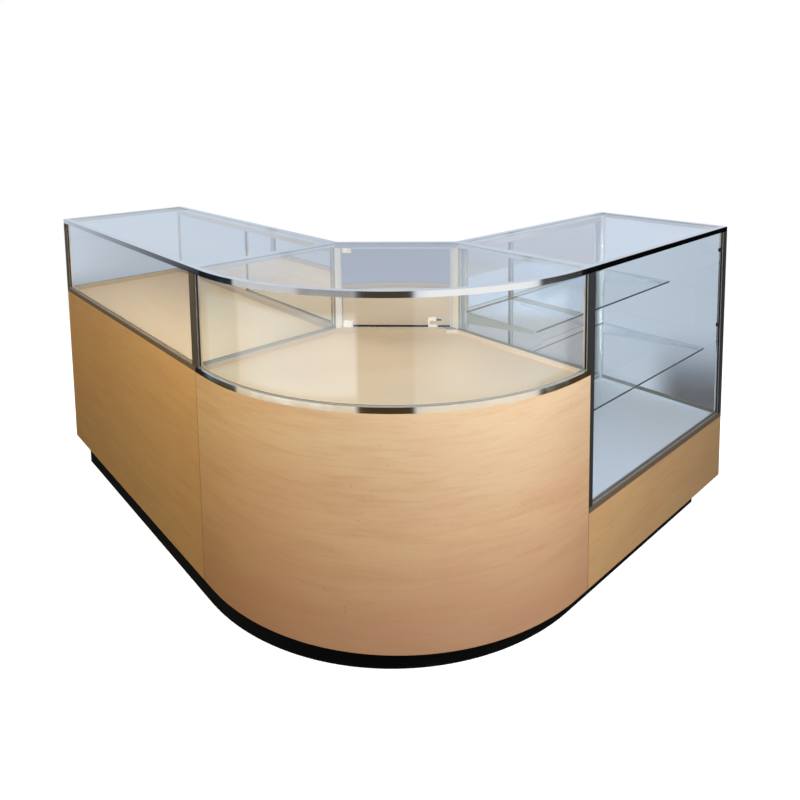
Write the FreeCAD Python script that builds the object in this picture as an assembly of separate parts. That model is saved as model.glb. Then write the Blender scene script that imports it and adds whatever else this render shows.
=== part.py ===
import FreeCAD, Part
import math
import os

V = FreeCAD.Vector

# Plan: the two seams meet at the plan's zero point. The left wing runs from there along -X and
# faces -Y, the right wing runs along +Y and faces +X, and the corner unit lies between them.
height = 1000.0
depth = 500.0
left_length = 1200.0
right_length = 870.0
front_reach = 775.0          # zero point to either wing's front face
straight_run = 50.0          # flat part of the curved front beside each seam

# Heights of the wooden bodies
deck_height = 700.0          # left wing and corner
apron_height = 300.0         # right wing
plinth_height = 75.0
plinth_setback = 35.0        # from the rear
left_plinth_setback = 17.0   # from the left wing's front
right_plinth_setback = 44.0  # from the right wing's front
plinth_end_setback = 120.0   # from the free ends

# Stock
board = 18.0
plinth_board = 16.0
bar = 18.0                   # frame bars seen from above
rail = 16.0                  # height of the top and deck rails
seam_bar = 12.0              # slimmer bars of the corner unit along its seams
glass = 6.0
mirror = 5.0
storage_panel = 9.0          # sliding storage doors

# Glazing
glass_bite = 4.0             # how far a pane reaches into its grooves
glass_gap = 0.5              # space all round a pane in its grooves
top_sink = 3.0               # the glass tops lie this far under the rail tops

# Sliding doors
track_fin = 1.5
track_floor = 2.0
lower_lip = 7.0              # fins above the track floor
upper_lip = 16.0             # fins below the upper track's ceiling
slide_gap = 0.875            # each side of a door in its channel
glide_height = 2.0
glide_length = 60.0
glide_gap = 0.1
lift_room = 8.5              # above a door, so that it lifts out of the lower track
door_overlap = 30.0
door_end_gap = 2.0

# Pulls
pull_length = 64.0           # flat finger pulls of the mirror doors
pull_width = 20.0
pull_thickness = 1.6
pull_dish = 1.0
pull_border = 2.5
pull_from_edge = 14.0
cup_radius = 18.0            # recessed cups of the storage doors
cup_depth = 6.5
cup_wall = 1.0
cup_flange = 3.0             # flange width outside the cup
cup_gap = 0.3
cup_from_edge = 50.0

# Storage
storage_shelf_drop = 310.0   # deck top to shelf top
storage_shelf_front_gap = 90.0
shelf_side_gap = 1.0
track_clear = 12.0           # shelves and divider stop short of the storage tracks

# Corner doors
swing_gap = 2.0              # round a hinged door
mirror_door_rise = 10.0      # rear bar to mirror door
mirror_door_top_gap = 4.0
pivot_inset = 12.0
pivot_radius = 3.0
pivot_depth = 8.0
running_gap = 0.05
plate_length = 30.0
plate_height = 14.0          # overlap with the mirror
plate_cheek = 2.0
plate_end_gap = 1.5
lock_from_edge = 60.0        # plug axis to the mirror door's free edge
lock_rise = 12.0             # plug axis above the mirror door's lower edge
lock_width = 26.0
lock_height = 30.0
lock_cheek = 5.0
plug_radius = 6.0
plug_stand_out = 1.2
plug_slot = 1.2
plug_slot_depth = 2.0
plug_hole_gap = 1.0
cam_length = 30.0
cam_width = 10.0
cam_thickness = 2.0
cam_gap = 1.0
knuckle_radius = 3.2
knuckle_gap = 0.3
hinge_pin_radius = 1.5
hinge_height = 45.0
hinge_leaf = 18.0
hinge_leaf_thickness = 1.5
hinge_from_end = 90.0

# Glass shelves of the right wing
shelf_glass = 6.0
shelf_end_gap = 20.0         # shelf ends to the wing's ends
upper_shelf_front = 195.0    # from the wing's front face
lower_shelf_front = 60.0
standard_width = 12.0
standard_depth = 8.0
standard_gap = 1.0           # to the frame bars behind
slot_pitch = 25.0
slot_start = 22.0            # first slot above the deck
slot_height = 14.0
slot_depth = 4.0
slot_gap = 0.2
bracket = 4.0
bracket_root = 36.0          # height at the standard
bracket_tip = 8.0
bracket_short = 15.0         # bracket tip to shelf front
hook_height = 10.0
hook_depth = 3.0
shelf_rear_gap = 1.0
clip_width = 8.0
clip_height = 12.0
clip_gap = 0.3
clip_shares = (0.49, 0.88)   # of the height above the right wing's deck

# Bolts at the seams
bolt_radius = 3.0
bolt_hole_gap = 0.3
bolt_head_radius = 8.0
bolt_head = 3.0
bolt_inset = 120.0           # from the panels' edges
apron_bolt_inset = 60.0      # from the low panels' upper edge

diagonal = math.sqrt(2.0)
inner_reach = front_reach - depth
rear_half = inner_reach / diagonal
top_rail_z = height - rail
top_pane_z = (height - top_sink - glass, height - top_sink)
shift = V((left_length - front_reach) / 2, (front_reach - right_length) / 2, 0)

nodes = {}


def block(x, y, z):
    """Rectangular block between pairs of limits."""
    return Part.makeBox(x[1] - x[0], y[1] - y[0], z[1] - z[0], V(x[0], y[0], z[0]))


def prism(points, z):
    """Upright prism over a plan polygon."""
    ring = [V(x, y, z[0]) for x, y in points]
    face = Part.Face(Part.makePolygon(ring + ring[:1]))
    return face.extrude(V(0, 0, z[1] - z[0]))


def grown(limits, by):
    """Pair of limits moved apart."""
    return (limits[0] - by, limits[1] + by)


def grooved(pieces, panes):
    """Pieces with grooves cut for the panes that they hold."""
    for pane in panes:
        pieces = [piece.cut(pane) for piece in pieces]
    return pieces


def ring(u, v, width, z):
    """Four mitred bars round a rectangle: front, rear and both ends."""
    (a, b), (c, d) = u, v
    w = width
    plans = (
        ((a, c), (b, c), (b - w, c + w), (a + w, c + w)),
        ((a + w, d - w), (b - w, d - w), (b, d), (a, d)),
        ((a, c), (a + w, c + w), (a + w, d - w), (a, d)),
        ((b, c), (b, d), (b - w, d - w), (b - w, c + w)),
    )
    return [prism(plan, z) for plan in plans]


def on_left(shape):
    """From a wing's own axes (length, depth from the front, height) to the left wing."""
    shape.translate(V(-left_length, -front_reach, 0))
    return shape


def on_right(shape):
    """From a wing's own axes to the right wing."""
    shape.rotate(V(0, 0, 0), V(0, 0, 1), 90)
    shape.translate(V(front_reach, 0, 0))
    return shape


def on_rear(shape):
    """From the corner's rear axes (along the face, outward, up) to the corner unit."""
    shape.rotate(V(0, 0, 0), V(0, 0, 1), 45)
    shape.translate(V(inner_reach / 2, -inner_reach / 2, 0))
    return shape


def other_seam(shape):
    """Mirror image of a corner piece beside the left seam, beside the right seam."""
    return shape.mirror(V(0, 0, 0), V(1, 1, 0))


def add(name, *shapes):
    """Keeps a node's solids, moved so that the origin is under the middle of the desk."""
    solids = [solid for shape in shapes for solid in shape.Solids]
    whole = solids[0] if len(solids) == 1 else Part.makeCompound(solids)
    whole.translate(shift)
    nodes[name] = whole


def curved_edges(inset, end, z):
    """Edges of the corner's front line, set in from the front; end is its gap to each seam."""
    reach = front_reach - inset
    radius = reach - straight_run
    bow = straight_run + radius / diagonal
    a = V(end, -reach, z)
    b = V(straight_run, -reach, z)
    c = V(reach, -straight_run, z)
    d = V(reach, -end, z)
    arc = Part.Arc(b, V(bow, -bow, z), c).toShape()
    return [Part.makeLine(a, b), arc, Part.makeLine(c, d)], a, d


def curved_strip(insets, end, z):
    """Upright band along the curved front, between two distances in from it."""
    outer, outer_a, outer_d = curved_edges(insets[0], end, z[0])
    inner, inner_a, inner_d = curved_edges(insets[1], end, z[0])
    ends = [Part.makeLine(outer_d, inner_d), Part.makeLine(inner_a, outer_a)]
    wire = Part.Wire(Part.__sortEdges__(outer + inner + ends))
    return Part.Face(wire).extrude(V(0, 0, z[1] - z[0]))


def rear_line(inset):
    """Distance from the zero point, along either seam, to the rear line set in by inset."""
    return inner_reach + inset * diagonal


def corner_slab(front, side, rear, z):
    """Slab over the corner unit's plan, set in from its front, its seams and its rear face."""
    edges, a, d = curved_edges(front, side, z[0])
    far = rear_line(rear) - side
    e = V(far, -side, z[0])
    g = V(side, -far, z[0])
    edges += [Part.makeLine(d, e), Part.makeLine(e, g), Part.makeLine(g, a)]
    wire = Part.Wire(Part.__sortEdges__(edges))
    return Part.Face(wire).extrude(V(0, 0, z[1] - z[0]))


def seam_bar_plan(width, front, rear):
    """Plan of a straight piece along the left seam, from the front to the rear line."""
    far = rear_line(rear)
    return ((0, front - front_reach), (width, front - front_reach), (width, width - far), (0, -far))


def rear_bar(insets, side, z):
    """Bar along the corner's rear face between two pieces that lie along the seams."""
    near = rear_line(insets[0]) - side
    far = rear_line(insets[1]) - side
    return prism(((side, -near), (near, -side), (far, -side), (side, -far)), z)


def cylinder(radius, start, along):
    """Round bar from a point along a vector."""
    return Part.makeCylinder(radius, along.Length, start, along)


def track_depth(panel):
    """Depth of a twin track for two sliding panels."""
    return 3 * track_fin + 2 * (panel + 2 * slide_gap)


def sliding_pair(u, rear, z, panel, pulls):
    """Twin tracks and two sliding panels between two uprights, against the plane rear.

    Returns tracks, then panel, glides and pull of the door in the inner and the outer channel.
    """
    channel = panel + 2 * slide_gap
    front = rear - track_depth(panel)
    low, high = z
    tracks = [block(u, (front, rear), (low, low + track_floor))]
    tracks.append(block(u, (front, rear), (high - track_floor, high)))
    for index in range(3):
        v = front + index * (track_fin + channel)
        fin = (v, v + track_fin)
        tracks.append(block(u, fin, (low + track_floor, low + track_floor + lower_lip)))
        tracks.append(block(u, fin, (high - track_floor - upper_lip, high - track_floor)))
    width = (u[1] - u[0] + door_overlap) / 2 - door_end_gap
    bottom = low + track_floor + glide_height
    top = high - track_floor - lift_room
    doors = []
    for index in range(2):
        v = front + track_fin + slide_gap + index * (track_fin + channel)
        start = u[0] + door_end_gap if index == 0 else u[1] - door_end_gap - width
        leaf = block((start, start + width), (v, v + panel), (bottom, top))
        glides = []
        for end in (start + glide_length / 2, start + width - 3 * glide_length / 2):
            reach = (end, end + glide_length)
            glides.append(block(reach, (v, v + panel), (low + track_floor + glide_gap, bottom)))
        outer_edge = start if index == 0 else start + width
        inward = 1 if index == 0 else -1
        leaf, pull = pulls(leaf, outer_edge, inward, v + panel, (bottom + top) / 2)
        doors.append((leaf, glides, pull))
    return tracks, doors


def finger_pull(leaf, edge, inward, face, level):
    """Flat dished pull on a mirror's rear face."""
    middle = edge + inward * (pull_from_edge + pull_width / 2)
    u = grown((middle, middle), pull_width / 2)
    z = grown((level, level), pull_length / 2)
    plate = block(u, (face, face + pull_thickness), z)
    dish = (face + pull_thickness - pull_dish, face + pull_thickness)
    plate = plate.cut(block(grown(u, -pull_border), dish, grown(z, -pull_border)))
    return leaf, plate


def cup_pull(leaf, edge, inward, face, level):
    """Round cup let into a wooden door's rear face."""
    middle = V(edge + inward * (cup_from_edge + cup_radius), face, level)
    inside = V(0, -cup_depth, 0)
    outside = V(0, cup_wall, 0)
    leaf = leaf.cut(cylinder(cup_radius + cup_gap, middle, inside))
    cup = cylinder(cup_radius, middle, inside).fuse(cylinder(cup_radius + cup_flange, middle, outside))
    hollow = cylinder(cup_radius - cup_wall, middle + outside, V(0, -cup_depth, 0))
    return leaf, cup.cut(hollow)


def wing_case(name, place, length, deck):
    """Framed glass case of a wing with its mirrored sliding doors."""
    u = (0.0, length)
    v = (0.0, depth)
    inner_z = (deck + rail, top_rail_z)
    set_in = (bar - glass) / 2
    sheet = (set_in, set_in + glass)
    post_u = ((0.0, bar), (length - bar, length))
    post_v = ((0.0, bar), (depth - bar, depth))
    pane_u = grown((bar, length - bar), glass_bite)
    pane_v = grown((bar, depth - bar), glass_bite)
    pane_z = grown(inner_z, glass_bite)
    far_sheet = (length - sheet[1], length - sheet[0])
    limits = {
        "front_glass": (pane_u, sheet, pane_z),
        "low_end_glass": (sheet, pane_v, pane_z),
        "high_end_glass": (far_sheet, pane_v, pane_z),
        "top_glass": (pane_u, pane_v, top_pane_z),
    }
    panes = {key: block(*limit) for key, limit in limits.items()}
    tools = [block(*[grown(pair, glass_gap) for pair in limit]) for limit in limits.values()]
    posts = [block(a, b, inner_z) for a in post_u for b in post_v]
    top_frame = ring(u, v, bar, (top_rail_z, height))
    deck_frame = ring(u, v, bar, (deck, deck + rail))
    add(name + "_posts", *[place(s) for s in grooved(posts, tools)])
    add(name + "_top_rails", *[place(s) for s in grooved(top_frame, tools)])
    add(name + "_deck_rails", *[place(s) for s in grooved(deck_frame, tools)])
    add(name + "_front_glass", place(panes["front_glass"]))
    add(name + "_top_glass", place(panes["top_glass"]))
    add(name + "_end_glass", place(panes["low_end_glass"]), place(panes["high_end_glass"]))
    opening = (bar, length - bar)
    tracks, doors = sliding_pair(opening, depth, inner_z, mirror, finger_pull)
    add(name + "_mirror_tracks", *[place(s) for s in tracks])
    for side, (leaf, glides, pull) in zip(("inner", "outer"), doors):
        add(name + "_mirror_" + side, place(leaf))
        fittings = [place(s) for s in glides + [pull]]
        add(name + "_mirror_" + side + "_fittings", *fittings)


def plinth_frame(u, front):
    """Plinth boards of a wing, set back from its front."""
    v = (front, depth - plinth_setback)
    return ring(u, v, plinth_board, (0.0, plinth_height))


def seam_bolt_points(top, top_inset):
    """Where the bolts cross a seam: distances from the front, and heights."""
    near = bolt_inset
    far = depth - bolt_inset
    low = plinth_height + bolt_inset
    high = top - top_inset
    levels = (low, high) if high - low > bolt_inset else ((plinth_height + top) / 2,)
    return [(v, z) for v in (near, far) for z in levels]


def seam_bolts(seam, radius, heads):
    """Bolts across the seam end of a wing; without heads, the shapes of their holes."""
    place, end, points = seam
    grip = V(2 * board, 0, 0)
    bolts = []
    for v, z in points:
        start = V(end - board, v, z)
        bolt = cylinder(radius, start, grip)
        if heads:
            bolt = bolt.fuse(cylinder(bolt_head_radius, start, V(-bolt_head, 0, 0)))
            bolt = bolt.fuse(cylinder(bolt_head_radius, start + grip, V(bolt_head, 0, 0)))
        bolts.append(place(bolt))
    return bolts


# Bolts and their holes at both seams
left_seam = (on_left, left_length, seam_bolt_points(deck_height, bolt_inset))
right_seam = (on_right, 0.0, seam_bolt_points(apron_height, apron_bolt_inset))
left_holes = seam_bolts(left_seam, bolt_radius + bolt_hole_gap, False)
right_holes = seam_bolts(right_seam, bolt_radius + bolt_hole_gap, False)
add("seam_bolts", *seam_bolts(left_seam, bolt_radius, True), *seam_bolts(right_seam, bolt_radius, True))

# Left wing: body
body_z = (plinth_height, deck_height)
base_z = (plinth_height, plinth_height + board)
deck_z = (deck_height - board, deck_height)
inside_u = (board, left_length - board)
inside_v = (board, depth)
storage_z = (base_z[1], deck_z[0])
plinth_u = (plinth_end_setback, left_length)
add("left_plinth", *[on_left(s) for s in plinth_frame(plinth_u, left_plinth_setback)])
add("left_front_panel", on_left(block((0, left_length), (0, board), body_z)))
add("left_deck", on_left(block(inside_u, inside_v, deck_z)))
store_rear = depth - track_depth(storage_panel) - track_clear
middle = left_length / 2
divider_u = grown((middle, middle), board / 2)
boards = [
    block((0, board), inside_v, body_z),
    block((left_length - board, left_length), inside_v, body_z),
    block(inside_u, inside_v, base_z),
    block(divider_u, (board, store_rear), storage_z),
]
add("left_carcass", *grooved([on_left(s) for s in boards], left_holes))

# Left wing: storage behind sliding doors
tracks, doors = sliding_pair(inside_u, depth, storage_z, storage_panel, cup_pull)
add("left_storage_tracks", *[on_left(s) for s in tracks])
for side, (leaf, glides, pull) in zip(("inner", "outer"), doors):
    add("left_storage_" + side, on_left(leaf))
    fittings = [on_left(s) for s in glides + [pull]]
    add("left_storage_" + side + "_fittings", *fittings)
shelf_z = (deck_height - storage_shelf_drop - board, deck_height - storage_shelf_drop)
shelf_v = (board + storage_shelf_front_gap, store_rear)
bays = ((inside_u[0], divider_u[0]), (divider_u[1], inside_u[1]))
shelves = [block(grown(bay, -shelf_side_gap), shelf_v, shelf_z) for bay in bays]
add("left_storage_shelves", *[on_left(s) for s in shelves])

# Left wing: glass case
wing_case("left", on_left, left_length, deck_height)

# Corner unit: body
plinth_z = (0.0, plinth_height)
plinth_in = plinth_setback + plinth_board
plinth_rear = rear_bar((plinth_setback, plinth_in), 0.0, plinth_z)
# The plinth's front has the front panel's bend, moved back from both wings' fronts
plinth_front = curved_strip((0.0, plinth_board), 0.0, plinth_z)
plinth_front.translate(V(-right_plinth_setback, left_plinth_setback, 0))
plinth_front = plinth_front.common(block((0, front_reach), (-front_reach, 0), plinth_z))
left_side = prism(seam_bar_plan(plinth_board, left_plinth_setback + plinth_board, plinth_in), plinth_z)
right_side = prism(seam_bar_plan(plinth_board, right_plinth_setback + plinth_board, plinth_in), plinth_z)
plinth_sides = [side.cut(plinth_front) for side in (left_side, other_seam(right_side))]
add("corner_plinth", plinth_front, *plinth_sides, plinth_rear)
add("corner_front_panel", curved_strip((0.0, board), 0.0, body_z))
corner_panel = prism(seam_bar_plan(board, board, 0.0), body_z)
boards = [corner_panel, other_seam(corner_panel), corner_slab(board, board, 0.0, base_z)]
add("corner_carcass", *grooved(boards, left_holes + right_holes))
add("corner_deck", corner_slab(board, board, 0.0, deck_z))

# Corner unit: frame and glass
case_z = (deck_height + rail, top_rail_z)
pane_z = grown(case_z, glass_bite)
front_in = (bar - glass) / 2
side_in = (seam_bar - glass) / 2
front_sheet = (front_in, front_in + glass)
side_sheet = (side_in, side_in + glass)
bent_end = seam_bar - glass_bite
side_pane_y = grown((bar - front_reach, -inner_reach - bar), glass_bite)
top_front = bar - glass_bite
top_side = seam_bar - glass_bite
seam_pane = block(side_sheet, side_pane_y, pane_z)
seam_groove = block(*[grown(pair, glass_gap) for pair in (side_sheet, side_pane_y, pane_z)])
bent_glass = curved_strip(front_sheet, bent_end, pane_z)
bent_groove = curved_strip(grown(front_sheet, glass_gap), bent_end - glass_gap, grown(pane_z, glass_gap))
top_pane = corner_slab(top_front, top_side, top_front, top_pane_z)
top_groove = corner_slab(
    top_front - glass_gap, top_side - glass_gap, top_front - glass_gap, grown(top_pane_z, glass_gap)
)
grooves = [seam_groove, other_seam(seam_groove), bent_groove, top_groove]

front_post = block((0, seam_bar), (-front_reach, bar - front_reach), case_z)
rear_post_front = -inner_reach - bar
rear_post_plan = (
    (0, rear_post_front), (seam_bar, rear_post_front), (seam_bar, seam_bar - inner_reach), (0, -inner_reach)
)
rear_post = prism(rear_post_plan, case_z)
posts = [front_post, rear_post, other_seam(front_post), other_seam(rear_post)]
add("corner_posts", *grooved(posts, grooves))

pivot = V(seam_bar * diagonal - rear_half + swing_gap + pivot_inset, -bar / 2, 0)
sockets = []
for level, reach in ((case_z[0], -pivot_depth), (case_z[1], pivot_depth)):
    extra = math.copysign(plate_end_gap, reach)
    start = V(pivot.x, pivot.y, level)
    sockets.append(on_rear(cylinder(pivot_radius + running_gap, start, V(0, 0, reach + extra))))

for name, z in (("deck", (deck_height, case_z[0])), ("top", (top_rail_z, height))):
    side = prism(seam_bar_plan(seam_bar, bar, 0.0), z)
    bars = [curved_strip((0.0, bar), 0.0, z), side, other_seam(side), rear_bar((0.0, bar), seam_bar, z)]
    add("corner_" + name + "_rails", *grooved(bars, grooves + sockets))
add("corner_bent_glass", bent_glass)
add("corner_seam_glass", seam_pane, other_seam(seam_pane))
add("corner_top_glass", top_pane)

# Corner unit: mirror door on two pivot plates, with a lock
half_opening = rear_half - seam_bar * diagonal
door_x = grown((0.0, 0.0), half_opening - swing_gap)
door_y = grown((-bar / 2, -bar / 2), mirror / 2)
door_z = (case_z[0] + mirror_door_rise, case_z[1] - mirror_door_top_gap)
pane = block(door_x, door_y, door_z)
lock_offset = door_x[1] - lock_from_edge
plug_start = V(lock_offset, 0, door_z[0] + lock_rise)
through = V(0, -2 * bar, 0)
pane = pane.cut(cylinder(plug_radius + plug_hole_gap, plug_start, through))
plate_x = (door_x[0], door_x[0] + plate_length)
plate_y = grown(door_y, plate_cheek)
plates = []
for level, outward, edge in ((case_z[0], 1, door_z[0]), (case_z[1], -1, door_z[1])):
    outer = level + outward * plate_end_gap
    inner = edge + outward * plate_height
    plate = block(plate_x, plate_y, (min(outer, inner), max(outer, inner)))
    pin_length = V(0, 0, -outward * (pivot_depth + plate_end_gap))
    pin = cylinder(pivot_radius, V(pivot.x, pivot.y, outer), pin_length)
    plates.append(plate.cut(pane).fuse(pin))
case_x = grown((lock_offset, lock_offset), lock_width / 2)
lock_y = grown(door_y, lock_cheek)
lock_z = grown((plug_start.z, plug_start.z), lock_height / 2)
lock_case = block(case_x, lock_y, lock_z).cut(block(door_x, door_y, door_z))
lock_case = lock_case.cut(cylinder(plug_radius + running_gap, plug_start, through))
plug_front = lock_y[1] + plug_stand_out
cam_y = (-bar - cam_gap - cam_thickness, -bar - cam_gap)
plug = cylinder(plug_radius, V(lock_offset, plug_front, plug_start.z), V(0, cam_y[0] - plug_front, 0))
key_x = grown((lock_offset, lock_offset), plug_slot / 2)
key_z = grown((plug_start.z, plug_start.z), plug_radius / 2)
plug = plug.cut(block(key_x, (plug_front - plug_slot_depth, plug_front), key_z))
cam_z = grown((plug_start.z, plug_start.z), cam_width / 2)
cam = block((lock_offset, lock_offset + cam_length), cam_y, cam_z)
add("corner_mirror_door", on_rear(pane))
add("corner_mirror_fittings", *[on_rear(s) for s in plates + [lock_case]])
add("corner_lock_plug", on_rear(plug.fuse(cam)))

# Corner unit: storage door on two surface hinges
leaf_half = rear_half - board * diagonal
leaf_x = grown((0.0, 0.0), leaf_half - swing_gap)
leaf_z = grown(storage_z, -swing_gap)
leaf = block(leaf_x, (-board, 0), leaf_z)
leaf, cup = cup_pull(leaf, leaf_x[1], -1, 0.0, (leaf_z[0] + leaf_z[1]) / 2)
hinge_x = -leaf_half + swing_gap / 2
hinge_y = knuckle_radius + knuckle_gap
fixed_leaves = []
moving_leaves = []
knuckle = hinge_height / 3
reach = knuckle_radius + 2 * knuckle_gap
for level in (leaf_z[0] + hinge_from_end, leaf_z[1] - hinge_from_end):
    low = level - hinge_height / 2
    flat = (0.0, hinge_leaf_thickness)
    tall = (low, low + hinge_height)
    fixed = block((hinge_x - hinge_leaf, hinge_x - reach), flat, tall)
    moving = block((hinge_x + reach, hinge_x + hinge_leaf), flat, tall)
    for index in range(3):
        z = (low + index * knuckle, low + (index + 1) * knuckle)
        is_middle = index == 1
        z = grown(z, -knuckle_gap) if is_middle else z
        roll = cylinder(knuckle_radius, V(hinge_x, hinge_y, z[0]), V(0, 0, z[1] - z[0]))
        tongue_x = (hinge_x, hinge_x + reach) if is_middle else (hinge_x - reach, hinge_x)
        roll = roll.fuse(block(tongue_x, flat, z))
        if is_middle:
            moving = moving.fuse(roll)
        else:
            fixed = fixed.fuse(roll)
    axis = V(0, 0, hinge_height)
    start = V(hinge_x, hinge_y, low)
    moving_leaves.append(moving.cut(cylinder(hinge_pin_radius + running_gap, start, axis)))
    fixed_leaves.append(fixed.fuse(cylinder(hinge_pin_radius, start, axis)))
add("corner_storage_door", on_rear(leaf))
add("corner_storage_fittings", on_rear(cup), *[on_rear(s) for s in moving_leaves])
add("corner_storage_hinges", *[on_rear(s) for s in fixed_leaves])

# Right wing: body
apron_z = (plinth_height, apron_height)
low_deck_z = (apron_height - board, apron_height)
inside_u = (board, right_length - board)
plinth_u = (0.0, right_length - plinth_end_setback)
add("right_plinth", *[on_right(s) for s in plinth_frame(plinth_u, right_plinth_setback)])
add("right_apron", on_right(block((0, right_length), (0, board), apron_z)))
add("right_deck", on_right(block(inside_u, inside_v, low_deck_z)))
boards = [
    block((0, board), inside_v, apron_z),
    block((right_length - board, right_length), inside_v, apron_z),
    block(inside_u, inside_v, base_z),
    block(inside_u, (depth - board, depth), (base_z[1], low_deck_z[0])),
]
add("right_carcass", *grooved([on_right(s) for s in boards], right_holes))

# Right wing: glass case with shelves on slotted standards
wing_case("right", on_right, right_length, apron_height)
standard_rear = depth - max(bar, track_depth(mirror)) - standard_gap
standard_v = (standard_rear - standard_depth, standard_rear)
standard_z = (apron_height, top_pane_z[0] - 2 * glass_gap)
slot_count = 1 + int((standard_z[1] - apron_height - 2 * slot_start) // slot_pitch)
lower_slot = slot_count // 3
upper_slot = 2 * slot_count // 3
slot_v = (standard_v[0], standard_v[0] + slot_depth)
shelf_u = (shelf_end_gap, right_length - shelf_end_gap)
standards = []
brackets = {lower_slot: [], upper_slot: []}
fronts = {lower_slot: lower_shelf_front, upper_slot: upper_shelf_front}
for u in (bar, right_length - bar - standard_width):
    upright = block((u, u + standard_width), standard_v, standard_z)
    middle = u + standard_width / 2
    for index in range(slot_count):
        z = apron_height + slot_start + index * slot_pitch
        slot_u = grown((middle, middle), bracket / 2 + slot_gap)
        upright = upright.cut(block(slot_u, slot_v, grown((z, z), slot_height / 2)))
        if index in brackets:
            plate_u = middle - bracket / 2
            top = z + bracket_root / 2
            tip = fronts[index] + bracket_short
            outline = (
                (tip, top), (standard_v[0], top), (standard_v[0], z + hook_height / 2),
                (standard_v[0] + hook_depth, z + hook_height / 2),
                (standard_v[0] + hook_depth, z - hook_height / 2),
                (standard_v[0], z - hook_height / 2), (standard_v[0], top - bracket_root),
                (tip, top - bracket_tip),
            )
            corners = [V(plate_u, a, b) for a, b in outline]
            side = Part.Face(Part.makePolygon(corners + corners[:1]))
            brackets[index].append(side.extrude(V(bracket, 0, 0)))
    standards.append(upright)
add("right_standards", *[on_right(s) for s in standards])
add("right_brackets", *[on_right(s) for s in brackets[lower_slot] + brackets[upper_slot]])
shelf_rear = standard_v[0] - shelf_rear_gap
for name, index in (("lower", lower_slot), ("upper", upper_slot)):
    under = apron_height + slot_start + index * slot_pitch + bracket_root / 2
    shelf_z = (under, under + shelf_glass)
    add("right_" + name + "_shelf", on_right(block(shelf_u, (fronts[index], shelf_rear), shelf_z)))
clips = []
clip_v = ((bar + glass) / 2 + clip_gap, bar)
for u in (bar, right_length - bar - clip_width):
    for share in clip_shares:
        level = apron_height + share * (height - apron_height)
        clips.append(block((u, u + clip_width), clip_v, grown((level, level), clip_height / 2)))
add("right_glazing_clips", *[on_right(s) for s in clips])

os.makedirs("parts", exist_ok=True)
for name, shape in nodes.items():
    shape.exportStep("parts/" + name + ".step")
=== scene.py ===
import math

import bmesh
import bpy
from bpy.props import FloatProperty, FloatVectorProperty, PointerProperty
from mathutils import Matrix, Vector

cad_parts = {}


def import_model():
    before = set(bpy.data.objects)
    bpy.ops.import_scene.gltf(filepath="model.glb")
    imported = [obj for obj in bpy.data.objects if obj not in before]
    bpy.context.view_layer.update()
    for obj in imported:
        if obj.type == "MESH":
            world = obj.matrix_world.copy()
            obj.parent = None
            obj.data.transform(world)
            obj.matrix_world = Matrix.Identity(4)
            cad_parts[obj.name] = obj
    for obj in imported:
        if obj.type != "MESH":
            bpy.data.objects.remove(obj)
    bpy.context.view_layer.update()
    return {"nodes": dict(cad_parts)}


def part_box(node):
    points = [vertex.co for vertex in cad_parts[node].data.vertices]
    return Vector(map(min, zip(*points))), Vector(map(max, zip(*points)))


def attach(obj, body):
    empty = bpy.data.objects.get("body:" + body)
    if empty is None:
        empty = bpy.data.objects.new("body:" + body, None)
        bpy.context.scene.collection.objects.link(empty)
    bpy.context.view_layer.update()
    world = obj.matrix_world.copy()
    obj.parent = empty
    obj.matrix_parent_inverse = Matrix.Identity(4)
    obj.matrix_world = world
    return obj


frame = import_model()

bl_info = {
    "name": "Reception desk finishes",
    "version": (1, 0, 0),
    "blender": (4, 5, 0),
    "location": "View3D > Sidebar > Desk",
    "description": "Finishes, small trim and a studio stage for the reception desk",
    "category": "Object",
}

# The curved front: its straight runs beside the seams, and the arc between them
bend_low, bend_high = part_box("corner_front_panel")
straight_run = 0.05
bend_centre = (bend_low.x + straight_run, bend_high.y - straight_run)
bend_radius = bend_high.x - bend_centre[0]

# Ways across the corner: out to the staff side, and along its rear face
half_turn = math.sqrt(0.5)
rearward = Vector((-half_turn, half_turn, 0.0))
chord = Vector((half_turn, half_turn, 0.0))


def colour(name, description, default):
    """A colour that a user may change."""
    return FloatVectorProperty(
        name=name, description=description, subtype="COLOR", size=4, min=0.0, max=1.0,
        default=(*default, 1.0),
    )


def length(name, description, default):
    """A length that a user may change, in metres."""
    return FloatProperty(
        name=name, description=description, unit="LENGTH", subtype="DISTANCE", min=0.0,
        precision=4, default=default,
    )


def angle(name, description, degrees):
    """An angle that a user may change."""
    return FloatProperty(
        name=name, description=description, subtype="ANGLE", default=math.radians(degrees)
    )


def power(name, description, watts):
    """A lamp's power that a user may change."""
    return FloatProperty(name=name, description=description, subtype="POWER", default=watts)


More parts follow.
